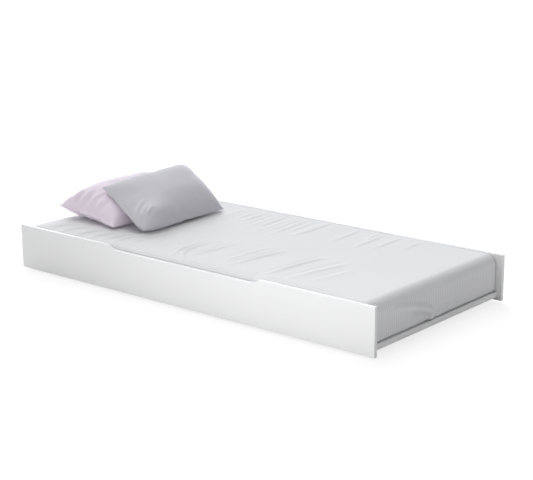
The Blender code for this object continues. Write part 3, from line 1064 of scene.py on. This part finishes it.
@dataclass
class Mattress:
    """The foam mattress in its quilted cover, hidden by the sheet but for its underside."""

    inset: float = 0.0032
    slat_gap: float = 0.0004
    spacing: float = 0.012
    fill: float = 0.92

    def build(self, wrap: SlabWrap, finishes: "Finishes") -> list[str]:
        """Build the mattress just inside the sheet's wrap.

        Args:
            wrap: the sheet's own wrap.
            finishes: the bed's materials.

        Returns:
            The piece's name.
        """
        low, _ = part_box("mattress")
        inner = SlabWrap(wrap.half_length - self.inset, wrap.half_width - self.inset,
                         wrap.top - self.inset, low.z + self.slat_gap, wrap.end_radius, wrap.front_radius,
                         wrap.back_radius, wrap.corner_radius, wrap.tuck_radius, math.pi / 2)
        item = wrapped_mesh("quilted_mattress", inner, self.spacing)
        shape = bmesh.new()
        shape.from_mesh(item.data)
        rim = [edge for edge in shape.edges if edge.is_boundary]
        made = bmesh.ops.edgeloop_fill(shape, edges=rim)
        bmesh.ops.triangulate(shape, faces=made["faces"])
        bmesh.ops.recalc_face_normals(shape, faces=shape.faces)
        shape.to_mesh(item.data)
        shape.free()
        dress(item, finishes.ticking)
        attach(item, "mattress_and_sheet")
        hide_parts("mattress")
        return [item.name]


@dataclass
class FittedSheet:
    """The striped sheet, drawn over the mattress with drag wrinkles and gathered corners."""

    thickness: float = 0.0010
    spacing: float = 0.0082
    crown: float = 0.0008
    drag: float = 1.65
    swell: float = 0.0016
    end_radius: float = 0.044
    front_radius: float = 0.014
    back_radius: float = 0.007
    corner_radius: float = 0.016
    tuck_radius: float = 0.005
    tuck_drop: float = 0.0045
    pleat: float = 0.0012
    pleat_pace: float = 26.0
    pucker: float = 0.0008
    pucker_pitch: float = 0.034
    foam_wave: float = 0.0009
    belly: float = 0.0035
    panel_play: float = 0.0006

    def wrap(self) -> SlabWrap:
        """Work out the slab that the sheet is drawn over, from the frame's own sheet.

        Returns:
            The slab.
        """
        low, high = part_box("fitted_sheet")
        return SlabWrap(high.x, high.y, high.z + self.crown, low.z - self.tuck_drop, self.end_radius,
                        self.front_radius, self.back_radius, self.corner_radius, self.tuck_radius)

    def top_folds(self) -> list[Fold]:
        """Draw the drag wrinkles across the top: the front half, then the short ones at the back.

        Returns:
            The folds, on the plane seen from above.
        """
        front = (
            (((0.238, -0.05), (0.215, -0.20), (0.190, -0.37)), 0.0034, 0.013),
            (((0.428, -0.03), (0.410, -0.20), (0.392, -0.39)), 0.0034, 0.013),
            (((0.150, -0.05), (0.136, -0.20), (0.130, -0.37)), 0.0022, 0.014),
            (((0.562, -0.05), (0.530, -0.20), (0.502, -0.36)), 0.0022, 0.017),
            (((0.640, -0.10), (0.612, -0.24), (0.600, -0.34)), 0.0012, 0.015),
            (((-0.332, -0.06), (-0.355, -0.22), (-0.372, -0.39)), 0.0056, 0.013),
            (((-0.112, -0.14), (-0.102, -0.26), (-0.082, -0.35), (-0.020, -0.41)), 0.0048, 0.010),
            (((0.004, -0.10), (-0.012, -0.24), (-0.030, -0.37)), 0.0030, 0.012),
            (((-0.140, -0.20), (-0.128, -0.32), (-0.090, -0.40)), 0.0034, 0.009),
            (((-0.250, -0.22), (-0.262, -0.38)), 0.0010, 0.014),
            (((-0.415, -0.22), (-0.440, -0.40)), 0.0062, 0.013),
            (((-0.470, -0.25), (-0.500, -0.41)), 0.0066, 0.014),
            (((-0.535, -0.28), (-0.575, -0.42)), 0.0062, 0.014),
            (((-0.610, -0.28), (-0.655, -0.43)), 0.0066, 0.014),
            (((-0.700, -0.28), (-0.750, -0.43)), 0.0058, 0.015),
            (((-0.785, -0.28), (-0.850, -0.43)), 0.0050, 0.016),
            (((-0.120, -0.398), (0.060, -0.412), (0.300, -0.408)), 0.0012, 0.007),
            (((0.340, -0.400), (0.560, -0.404), (0.820, -0.398)), 0.0008, 0.007),
        )
        back = (
            (((0.106, 0.15), (0.108, 0.30), (0.100, 0.43)), 0.0022, 0.012),
            (((0.290, 0.17), (0.284, 0.30), (0.276, 0.42)), 0.0018, 0.011),
            (((0.424, 0.15), (0.418, 0.30), (0.404, 0.43)), 0.0019, 0.012),
            (((0.502, 0.20), (0.498, 0.43)), 0.0017, 0.012),
            (((0.612, 0.26), (0.606, 0.42)), 0.0014, 0.012),
            (((0.390, 0.30), (0.372, 0.43)), 0.0014, 0.010),
        )
        folds = []
        for line, height, width in front + back:
            folds.append(Fold(line, height * self.drag, width * 0.85))
        random = np.random.default_rng(5)
        for number in range(12):
            x = -0.37 + 0.0420 * number + random.uniform(-0.006, 0.006)
            start = 0.11 + random.uniform(-0.04, 0.08)
            lean = random.uniform(-0.030, -0.004)
            height = random.uniform(0.0010, 0.0020)
            folds.append(Fold(((x, start), (x + lean, 0.43)), height * self.drag, 0.0110))
        return folds

    def foot_folds(self) -> list[Fold]:
        """Draw the swags on the foot face that meet where the sheet is tucked under.

        Returns:
            The folds, on the plane of the foot face.
        """
        upper = ((-0.300, 0.156), (-0.200, 0.140), (-0.110, 0.116), (-0.050, 0.090), (-0.018, 0.056))
        lower = ((-0.190, 0.096), (-0.110, 0.083), (-0.060, 0.064), (-0.026, 0.048))
        short = ((0.120, 0.070), (0.050, 0.066), (0.000, 0.052))
        folds = []
        for line, height, width in ((upper, 0.0180, 0.0095), (lower, 0.0180, 0.0090),
                                    (short, 0.0050, 0.012)):
            folds.append(Fold(line, height, width, valley=0.11))
        return folds

    def gather(self, item: bpy.types.Object, wrap: SlabWrap) -> None:
        """Pleat the four corners and ease the hem, where the elastic draws the cloth in.

        Args:
            item: the sheet.
            wrap: the slab that it is drawn over.
        """
        points, normals = read_points(item.data), read_normals(item.data)
        past_x = np.clip(np.abs(points[:, 0]) - wrap.half_length + 0.056, 0.0, None)
        past_y = np.clip(np.abs(points[:, 1]) - wrap.half_width + 0.040, 0.0, None)
        corner = np.clip(past_x / 0.04, 0.0, 1.0) * np.clip(past_y / 0.04, 0.0, 1.0)
        depth = ramp(-points[:, 2], 0.020 - wrap.top, 0.10)
        turn = np.arctan2(past_y, past_x)
        pleats = np.sin(turn * self.pleat_pace + 0.6 * np.sign(points[:, 0] * points[:, 1]))
        ripple = self.pleat * corner * depth * pleats
        hem = 1 - ramp(points[:, 2], wrap.hem + 0.005, 0.03)
        end = np.abs(points[:, 0]) > wrap.half_length - 0.02
        puckers = self.pucker * hem * end * np.sin(points[:, 1] * 2 * math.pi / self.pucker_pitch)
        write_points(item.data, points + (ripple + puckers)[:, None] * normals)

    def settle(self, item: bpy.types.Object, wrap: SlabWrap) -> None:
        """Give the foam's slow waves to the top and a soft belly to the two end faces.

        Args:
            item: the sheet.
            wrap: the slab that it is drawn over.
        """
        points = read_points(item.data)
        upper = ramp(points[:, 2], wrap.top - 0.05, 0.05)
        points[:, 2] += self.foam_wave * upper * smooth_noise(points, 2.2, 11)
        sides = ramp(np.abs(points[:, 0]), wrap.half_length - 0.03, 0.03)
        middle = wrap.hem + (wrap.top - wrap.hem) * 0.55
        belly = np.clip(1 - ((points[:, 2] - middle) / 0.085) ** 2, 0.0, 1.0)
        across = np.clip(1 - (points[:, 1] / wrap.half_width) ** 6, 0.0, 1.0)
        points[:, 0] += np.sign(points[:, 0]) * self.belly * sides * belly * across
        write_points(item.data, points)

    def build(self, finishes: "Finishes") -> list[str]:
        """Build the sheet.

        Args:
            finishes: the bed's materials.

        Returns:
            The piece's name.
        """
        wrap = self.wrap()
        item = wrapped_mesh("striped_sheet", wrap, self.spacing)
        self.settle(item, wrap)
        apply_folds(item.data, self.top_folds(), (0, 1), (0.0, 0.0, 1.0))
        apply_folds(item.data, self.foot_folds(), (1, 2), (1.0, 0.0, 0.0))
        self.gather(item, wrap)
        self.keep_inside(item, wrap)
        cloth = item.modifiers.new("cloth", "SOLIDIFY")
        cloth.thickness = self.thickness
        cloth.offset = -1.0
        dress(item, finishes.striped_cotton)
        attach(item, "mattress_and_sheet")
        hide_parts("fitted_sheet")
        length, width = wrap.flat_size
        return [item.name]

    def keep_inside(self, item: bpy.types.Object, wrap: SlabWrap) -> None:
        """Hold the cloth clear of the panels, but let it swell over the finger cut-out's edge.

        Args:
            item: the sheet.
            wrap: the slab that it is drawn over.
        """
        points = read_points(item.data)
        limit = wrap.half_width + self.panel_play
        points[:, 1] = np.clip(points[:, 1], -limit, limit)
        low, high = CUTOUT["box_m"]
        inside = 1 - ramp(np.abs(points[:, 0]), high[0] - 0.045, 0.045)
        above = ramp(points[:, 2], low[2] + 0.0006, 0.004)
        near = ramp(-points[:, 1], wrap.half_width - 0.070, 0.050)
        points[:, 1] -= self.swell * ease(inside) * above * ease(near)
        write_points(item.data, points)


@dataclass(frozen=True)
class Support:
    """A flat surface that a pillow is pressed on: a point on it and the way it pushes.

    The reach of its push and the push that starts the cloth slipping are in softnesses.
    """

    point: Point
    normal: Point
    softness: float = 0.006
    spread: float = 0.0
    reach: float = 6.0
    slip_start: float = 0.3

    def press(self, points: np.ndarray) -> np.ndarray:
        """Push points below the surface up to it, and spread them outward as they squash.

        Args:
            points: the pillow's places.

        Returns:
            The pressed places.
        """
        normal = np.array(self.normal) / np.linalg.norm(self.normal)
        height = (points - np.array(self.point)) @ normal
        eased = self.softness * np.logaddexp(0.0, height / self.softness)
        push = np.where(height > self.reach * self.softness, 0.0, eased - height)
        outward = points - points.mean(0)
        outward -= (outward @ normal)[:, None] * normal
        outward /= np.linalg.norm(outward, axis=1, keepdims=True) + TINY
        slip = self.spread * np.clip(push - self.slip_start * self.softness, 0.0, None)
        return points + push[:, None] * normal + slip[:, None] * outward


@dataclass(frozen=True)
class Lobe:
    """A place where the filling has gathered and the case's corner is tucked in.

    Its place and size are shares of the half case, from -1 to 1 each way.
    """

    across: float
    along: float
    swell: float
    tuck: float = 0.0
    size: float = 0.45

    def weight(self, u: np.ndarray, v: np.ndarray) -> np.ndarray:
        """How strongly each place of the case, from -1 to 1 each way, feels the lobe."""
        return np.exp(-((u - self.across) / self.size) ** 2 - ((v - self.along) / self.size) ** 2)


CASE_CLOTH = {"quality": 6, "mass": 0.25, "tension_stiffness": 16.0, "compression_stiffness": 16.0,
              "shear_stiffness": 5.0, "bending_stiffness": 0.15, "use_pressure": True}


@dataclass
class Pillow:
    """A filled case with a sewn edge, creased by cloth simulation and laid by its four corners.

    The corners are the near and far ones at the head side, then those at the foot side.  Squareness
    is how full the case stays toward its head, foot, near and far edges.
    """

    name: str
    body: str
    node: str
    slot: str
    case: tuple[float, float]
    thickness: float
    squareness: tuple[float, float, float, float]
    pinch: tuple[float, float]
    corners: tuple[Point, Point, Point, Point]
    supports: tuple[Support, ...]
    folds: tuple[Fold, ...] = ()
    lobes: tuple[Lobe, ...] = ()
    sag: float = 0.0
    loft: float = 0.66
    flange: float = 0.030
    edge_power: float = 0.56
    spacing: float = 0.0085
    pressure: float = 6.0
    frames: int = 26
    smoothing: int = 40
    crease_limit: float = 0.006
    crease_gain: float = 0.8
    cloth_gap: float = 0.004
    seam_half: float = 0.0011
    fill: float = 0.6

    def flat_case(self) -> bmesh.types.BMesh:
        """Cut two layers of cloth, a little apart, and sew them round their edge.

        Returns:
            The flat case.
        """
        width, length = self.case
        shape = bmesh.new()
        for side in (1, -1):
            made = bmesh.ops.create_grid(shape, x_segments=round(width / self.spacing),
                                         y_segments=round(length / self.spacing), size=0.5)
            bmesh.ops.scale(shape, vec=Vector((width, length, 1.0)), verts=made["verts"])
            for vert in made["verts"]:
                vert.co.z = 0.0 if vert.is_boundary else self.cloth_gap * side
            if side < 0:
                faces = {face for vert in made["verts"] for face in vert.link_faces}
                bmesh.ops.reverse_faces(shape, faces=list(faces))
        bmesh.ops.remove_doubles(shape, verts=shape.verts, dist=0.0005)
        return shape

    def creases(self, item: bpy.types.Object) -> np.ndarray:
        """Blow the case up with Cloth pressure and keep only its fine creases.

        Args:
            item: the flat case.

        Returns:
            How far each point lies from the smoothed case.
        """
        cloth = item.modifiers.new("swell", "CLOTH")
        settings = cloth.settings
        for name, value in CASE_CLOTH.items():
            setattr(settings, name, value)
        settings.uniform_pressure_force = self.pressure
        settings.effector_weights.gravity = 0.0
        cloth.point_cache.frame_start = 1
        cloth.point_cache.frame_end = self.frames
        scene = bpy.context.scene
        for number in range(1, self.frames + 1):
            scene.frame_set(number)
        graph = bpy.context.evaluated_depsgraph_get()
        swollen = bpy.data.meshes.new_from_object(item.evaluated_get(graph))
        points = read_points(swollen)
        bpy.data.meshes.remove(swollen)
        item.modifiers.remove(cloth)
        scene.frame_set(1)
        ends = np.empty(len(item.data.edges) * 2, np.int32)
        item.data.edges.foreach_get("vertices", ends)
        first, second = ends.reshape(-1, 2).T
        count = np.bincount(ends, minlength=len(points))[:, None]
        even = points.copy()
        for _ in range(self.smoothing):
            total = np.zeros_like(even)
            np.add.at(total, first, even[second])
            np.add.at(total, second, even[first])
            even = 0.5 * even + 0.5 * total / count
        return np.clip(points - even, -self.crease_limit, self.crease_limit)

    def filled(self, points: np.ndarray) -> np.ndarray:
        """The filled shape by formula: full in the middle, thin at the sewn edge.

        Args:
            points: the flat case's places.

        Returns:
            The filled case's places.
        """
        width, length = self.case
        u = points[:, 0] * 2 / width
        v = points[:, 1] * 2 / length
        inner = 1 - self.flange
        head, foot, near, far = self.squareness
        left = np.clip(1 - (np.abs(u) / inner) ** np.where(u < 0, head, foot), 0.0, 1.0)
        right = np.clip(1 - (np.abs(v) / inner) ** np.where(v < 0, near, far), 0.0, 1.0)
        power = np.full(len(points), self.edge_power)
        for lobe in self.lobes:
            power *= 1 - 0.5 * lobe.weight(u, v)
        full = (left * right) ** power
        share = np.where(points[:, 2] > 0, self.loft, 1 - self.loft)
        result = points.copy()
        height = np.sign(points[:, 2]) * (self.seam_half + full * self.thickness * share)
        result[:, 0] = width / 2 * u * (1 - self.pinch[0] * (1 - v ** 2))
        result[:, 1] = length / 2 * v * (1 - self.pinch[1] * (1 - u ** 2))
        for lobe in self.lobes:
            height *= 1 + lobe.swell * lobe.weight(u, v)
            toward_u, toward_v = np.sign(lobe.across), np.sign(lobe.along)
            corner = (np.clip(u * toward_u, 0, 1) * np.clip(v * toward_v, 0, 1)) ** 3
            result[:, 0] -= lobe.tuck * corner * toward_u
            result[:, 1] -= lobe.tuck * corner * toward_v
        result[:, 2] = height - self.sag * (1 - v ** 2) * np.clip(0.5 - u / 2, 0, 1)
        return result

    def lay(self, points: np.ndarray) -> np.ndarray:
        """Carry the case's own plane to the patch between the four corners.

        Args:
            points: places on the filled case.

        Returns:
            Places in the bed's frame.
        """
        head_near, head_far, foot_near, foot_far = (np.array(corner) for corner in self.corners)
        s = (points[:, 0] / self.case[0] + 0.5)[:, None]
        t = (points[:, 1] / self.case[1] + 0.5)[:, None]
        base = (1 - s) * ((1 - t) * head_near + t * head_far) + s * ((1 - t) * foot_near + t * foot_far)
        down = (1 - t) * (foot_near - head_near) + t * (foot_far - head_far)
        along = (1 - s) * (head_far - head_near) + s * (foot_far - foot_near)
        normal = np.cross(down, along)
        normal /= np.linalg.norm(normal, axis=1, keepdims=True)
        return base + normal * points[:, 2:3]

    def build(self, material: bpy.types.Material) -> list[str]:
        """Build the pillow.

        Args:
            material: its cotton.

        Returns:
            The piece's name.
        """
        item = mesh_object(self.name, self.flat_case(), 180.0)
        flat = read_points(item.data)
        crease = self.creases(item) * self.crease_gain
        write_points(item.data, self.filled(flat) + crease)
        apply_folds(item.data, self.folds, (0, 1), (0.0, 0.0, 1.0))
        points = self.lay(read_points(item.data))
        for support in self.supports:
            points = support.press(points)
        write_points(item.data, points)
        smooth = item.modifiers.new("smooth", "SUBSURF")
        smooth.levels = 1
        smooth.render_levels = 1
        dress(item, material)
        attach(item, self.body)
        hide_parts(self.node)
        return [item.name]


@dataclass
class Bedding:
    """The mattress, its sheet and the two pillows, which part along a plane where they lean."""

    lean_degrees: float = 25.0
    lean_point: Point = (-0.455, 0.0, 0.217)
    pillow_gap: float = 0.0006

    def pillows(self, top: float) -> list[Pillow]:
        """Draw the flat pink pillow and the grey one that leans on it.

        Args:
            top: the sheet's height.

        Returns:
            The two pillows.
        """
        lean = math.radians(self.lean_degrees)
        normal = (math.sin(lean), 0.0, math.cos(lean))
        away = tuple(-part for part in normal)
        bed = (0.0, 0.0, top + self.pillow_gap)
        pink = Pillow(
            name="pillow_pink", body="pink_pillow", node="pink_pillow", slot="pink_cotton",
            case=(0.40, 0.60), thickness=0.180, squareness=(3.0, 3.0, 3.2, 3.2), pinch=(0.03, 0.05),
            corners=((-0.950, -0.258, 0.261), (-0.900, 0.330, 0.282),
                     (-0.583, -0.277, 0.221), (-0.550, 0.300, 0.222)),
            supports=(Support(bed, (0.0, 0.0, 1.0), spread=0.15), Support(self.lean_point, away)),
            folds=self.pink_folds())
        grey = Pillow(
            name="pillow_grey", body="grey_pillow", node="grey_pillow", slot="grey_cotton",
            case=(0.37, 0.57), thickness=0.140, squareness=(4.6, 1.9, 2.4, 4.6), pinch=(0.03, 0.025),
            corners=((-0.751, -0.179, 0.362), (-0.742, 0.358, 0.368),
                     (-0.388, -0.282, 0.216), (-0.432, 0.305, 0.215)),
            supports=(Support(bed, (0.0, 0.0, 1.0), spread=0.8), Support(self.lean_point, normal)),
            folds=self.grey_folds(), lobes=(Lobe(0.80, -0.76, 0.30, 0.036),), sag=0.018,
            crease_gain=0.3)
        return [pink, grey]

    def pink_folds(self) -> tuple[Fold, ...]:
        """Draw the dimples that run in from the near end's seam.

        Returns:
            The folds, on the case's own plane.
        """
        rows = ((-0.150, -0.125, 0.072, 0.0082), (-0.085, -0.070, 0.090, 0.0090),
                (-0.022, -0.008, 0.102, 0.0092), (0.030, 0.048, 0.086, 0.0080),
                (0.095, 0.100, 0.050, 0.0036), (-0.178, -0.165, 0.035, 0.0040))
        seam = -0.290
        folds = []
        for start, middle, run, height in rows:
            line = ((start, seam - 0.002), (middle, seam + run * 0.6), (middle + 0.012, seam + run))
            folds.append(Fold(line, height, 0.0125, valley=0.9))
        return tuple(folds)

    def grey_folds(self) -> tuple[Fold, ...]:
        """Draw the creases gathered at the near foot corner, the hem and a few short ones at the edges.

        Returns:
            The folds, on the case's own plane.
        """
        lines = (
            (((0.100, -0.272), (0.072, -0.250), (0.042, -0.200)), 0.0060, 0.0100),
            (((0.125, -0.272), (0.110, -0.254), (0.082, -0.215)), 0.0050, 0.0090),
            (((0.146, -0.268), (0.138, -0.250), (0.120, -0.222), (0.108, -0.190)), 0.0055, 0.0085),
            (((0.162, -0.262), (0.158, -0.240), (0.148, -0.205)), 0.0050, 0.0080),
            (((0.174, -0.245), (0.170, -0.215), (0.166, -0.175)), 0.0034, 0.0085),
            (((0.172, 0.110), (0.140, 0.112), (0.105, 0.124)), 0.0042, 0.0095),
            (((0.170, -0.030), (0.148, -0.026), (0.128, -0.020)), 0.0026, 0.0100),
            (((0.168, 0.200), (0.140, 0.205), (0.118, 0.215)), 0.0026, 0.0095),
            (((-0.172, -0.266), (-0.050, -0.264), (0.060, -0.262), (0.100, -0.260)), 0.0036, 0.0060),
            (((-0.172, 0.170), (-0.140, 0.176), (-0.110, 0.178)), 0.0022, 0.0100),
            (((-0.172, -0.060), (-0.145, -0.056), (-0.118, -0.050)), 0.0020, 0.0110),
        )
        return tuple(Fold(line, height, width, valley=0.8) for line, height, width in lines)

    def build(self, finishes: "Finishes") -> list[str]:
        """Build all the bedding.

        Args:
            finishes: the bed's materials.

        Returns:
            The pieces' names.
        """
        sheet = FittedSheet()
        wrap = sheet.wrap()
        names = Mattress().build(wrap, finishes) + sheet.build(finishes)
        for pillow in self.pillows(wrap.top):
            names += pillow.build(getattr(finishes, pillow.slot))
        return names


@dataclass
class Finishes:
    """Every material of the bed, made once."""

    lacquer: bpy.types.Material = field(default_factory=lambda: Lacquer().material())
    pine_along: bpy.types.Material = field(default_factory=lambda: Pine(Grain.ALONG_BED).material())
    pine_across: bpy.types.Material = field(default_factory=lambda: Pine(Grain.ACROSS_BED).material())
    zinc: bpy.types.Material = field(default_factory=lambda: Zinc().material())
    webbing: bpy.types.Material = field(default_factory=lambda: Webbing().material())
    ticking: bpy.types.Material = field(default_factory=lambda: Ticking().material())
    striped_cotton: bpy.types.Material = field(default_factory=lambda: StripedCotton().material())
    rubber: bpy.types.Material = field(default_factory=lambda: Moulded(
        "black_rubber", (0.030, 0.030, 0.031), (0.10, 0.098, 0.094), (0.63, 0.76)).material())
    nylon: bpy.types.Material = field(default_factory=lambda: Moulded(
        "grey_nylon", (0.23, 0.235, 0.245), (0.34, 0.34, 0.34), (0.37, 0.50)).material())
    pink_cotton: bpy.types.Material = field(default_factory=lambda: PlainCotton(
        "pink_cotton", (0.860, 0.768, 0.868), (0.830, 0.736, 0.838)).material())
    grey_cotton: bpy.types.Material = field(default_factory=lambda: PlainCotton(
        "grey_cotton", (0.604, 0.595, 0.634), (0.580, 0.570, 0.607)).material())


@dataclass(frozen=True)
class Sun:
    """Even light that comes from one direction, softened by its angle."""

    name: str
    origin: Point
    strength: float
    angle_degrees: float
    colour: Colour = (1.0, 1.0, 1.0)


@dataclass
class Studio:
    """A pale floor, soft light from above, from the far left and on the front, and the camera."""

    camera_at: Point = (3.800, -4.438, 1.759)
    look: Point = (-0.62067, 0.74052, -0.25768)
    roll_degrees: float = -0.304
    lens: float = 93.88
    sensor: float = 36.0
    view_depth: float = 100.0
    floor_half: float = 30.0
    floor_colour: Colour = (0.93, 0.93, 0.93)
    floor_glow: float = 0.72
    floor_shine: float = 1.09
    sky: float = 0.37
    suns: tuple[Sun, ...] = (Sun("key", (-0.45, 0.28, 0.85), 1.65, 55.0),
                             Sun("back_light", (-0.69, 0.60, 0.40), 1.55, 40.0, (0.95, 0.97, 1.0)))
    fill_power: float = 16.0
    fill_size: float = 0.8
    fill_at: Point = (0.60, -2.4, 0.55)
    fill_origin: Point = (0.0, -0.97, 0.15)

    def floor(self) -> None:
        """Lay the white floor, which glows a little where the camera sees it."""
        shape = bmesh.new()
        bmesh.ops.create_grid(shape, x_segments=1, y_segments=1, size=self.floor_half)
        item = mesh_object("studio_floor", shape)
        board = ShaderBoard("studio_white")
        board.constants({"Roughness": 0.9, "Specular IOR Level": 0.0})
        board.shader.inputs["Base Color"].default_value = (*self.floor_colour, 1.0)
        glow = board.add("Emission", {"Strength": self.floor_shine})
        seen = board.add("LightPath")
        share = board.sums("MULTIPLY", seen.outputs["Is Camera Ray"], self.floor_glow)
        mix = board.add("MixShader")
        board.join(share, mix, 0)
        board.join(board.shader.outputs["BSDF"], mix, 1)
        board.join(glow.outputs["Emission"], mix, 2)
        board.join(mix.outputs["Shader"], board.nodes["Material Output"], "Surface")
        dress(item, board.material)

    def lights(self) -> None:
        """Set the even sky light, the suns and a soft fill on the front."""
        world = bpy.data.worlds.new("studio_sky")
        world.use_nodes = True
        background = world.node_tree.nodes["Background"]
        background.inputs["Color"].default_value = WHITE
        background.inputs["Strength"].default_value = self.sky
        bpy.context.scene.world = world
        for sun in self.suns:
            light = bpy.data.lights.new(sun.name, "SUN")
            light.energy = sun.strength
            light.angle = math.radians(sun.angle_degrees)
            light.color = sun.colour
            self.aim(light, sun.origin)
        fill = bpy.data.lights.new("front_fill", "AREA")
        fill.energy = self.fill_power
        fill.size = self.fill_size
        self.aim(fill, self.fill_origin).location = self.fill_at

    def aim(self, light: bpy.types.Light, origin: Point) -> bpy.types.Object:
        """Place a light so that it shines from a direction.

        Args:
            light: the light.
            origin: the direction that it comes from.

        Returns:
            The lamp.
        """
        lamp = bpy.data.objects.new(light.name, light)
        lamp.rotation_euler = Vector(origin).to_track_quat("Z", "Y").to_euler()
        bpy.context.scene.collection.objects.link(lamp)
        return lamp

    def camera(self) -> None:
        """Set up the camera, level but for a slight roll."""
        data = bpy.data.cameras.new("camera")
        data.lens = self.lens
        data.sensor_width = self.sensor
        data.clip_end = self.view_depth
        item = bpy.data.objects.new("camera", data)
        turn = Vector(self.look).to_track_quat("-Z", "Y").to_matrix().to_4x4()
        roll = Matrix.Rotation(math.radians(self.roll_degrees), 4, "Z")
        item.matrix_world = Matrix.Translation(self.camera_at) @ turn @ roll
        bpy.context.scene.collection.objects.link(item)
        bpy.context.scene.camera = item

    def build(self) -> None:
        """Set up the whole studio."""
        bpy.context.scene.view_settings.view_transform = "Standard"
        self.floor()
        self.lights()
        self.camera()


def main() -> None:
    """Build the studio and the bed's sub-assemblies in order, and log each piece's name."""
    logging.basicConfig(level=logging.INFO, format="%(name)s: %(message)s")
    Studio().build()
    finishes = Finishes()
    wheels = [CasterWheel(side, end) for side in Side for end in End]
    steps: list[tuple[str, Callable[[], list[str]]]] = [
        ("panel frame", lambda: PanelFrame().build(finishes)),
        ("slat base", lambda: SlatBase().build(finishes)),
        ("bedding", lambda: Bedding().build(finishes)),
    ]
    steps += [("wheel " + wheel.corner, lambda wheel=wheel: wheel.build(finishes)) for wheel in wheels]
    for title, build in steps:
        for name in build():
            LOG.info("%s: %s", title, name)


if __name__ == "__main__":
    main()
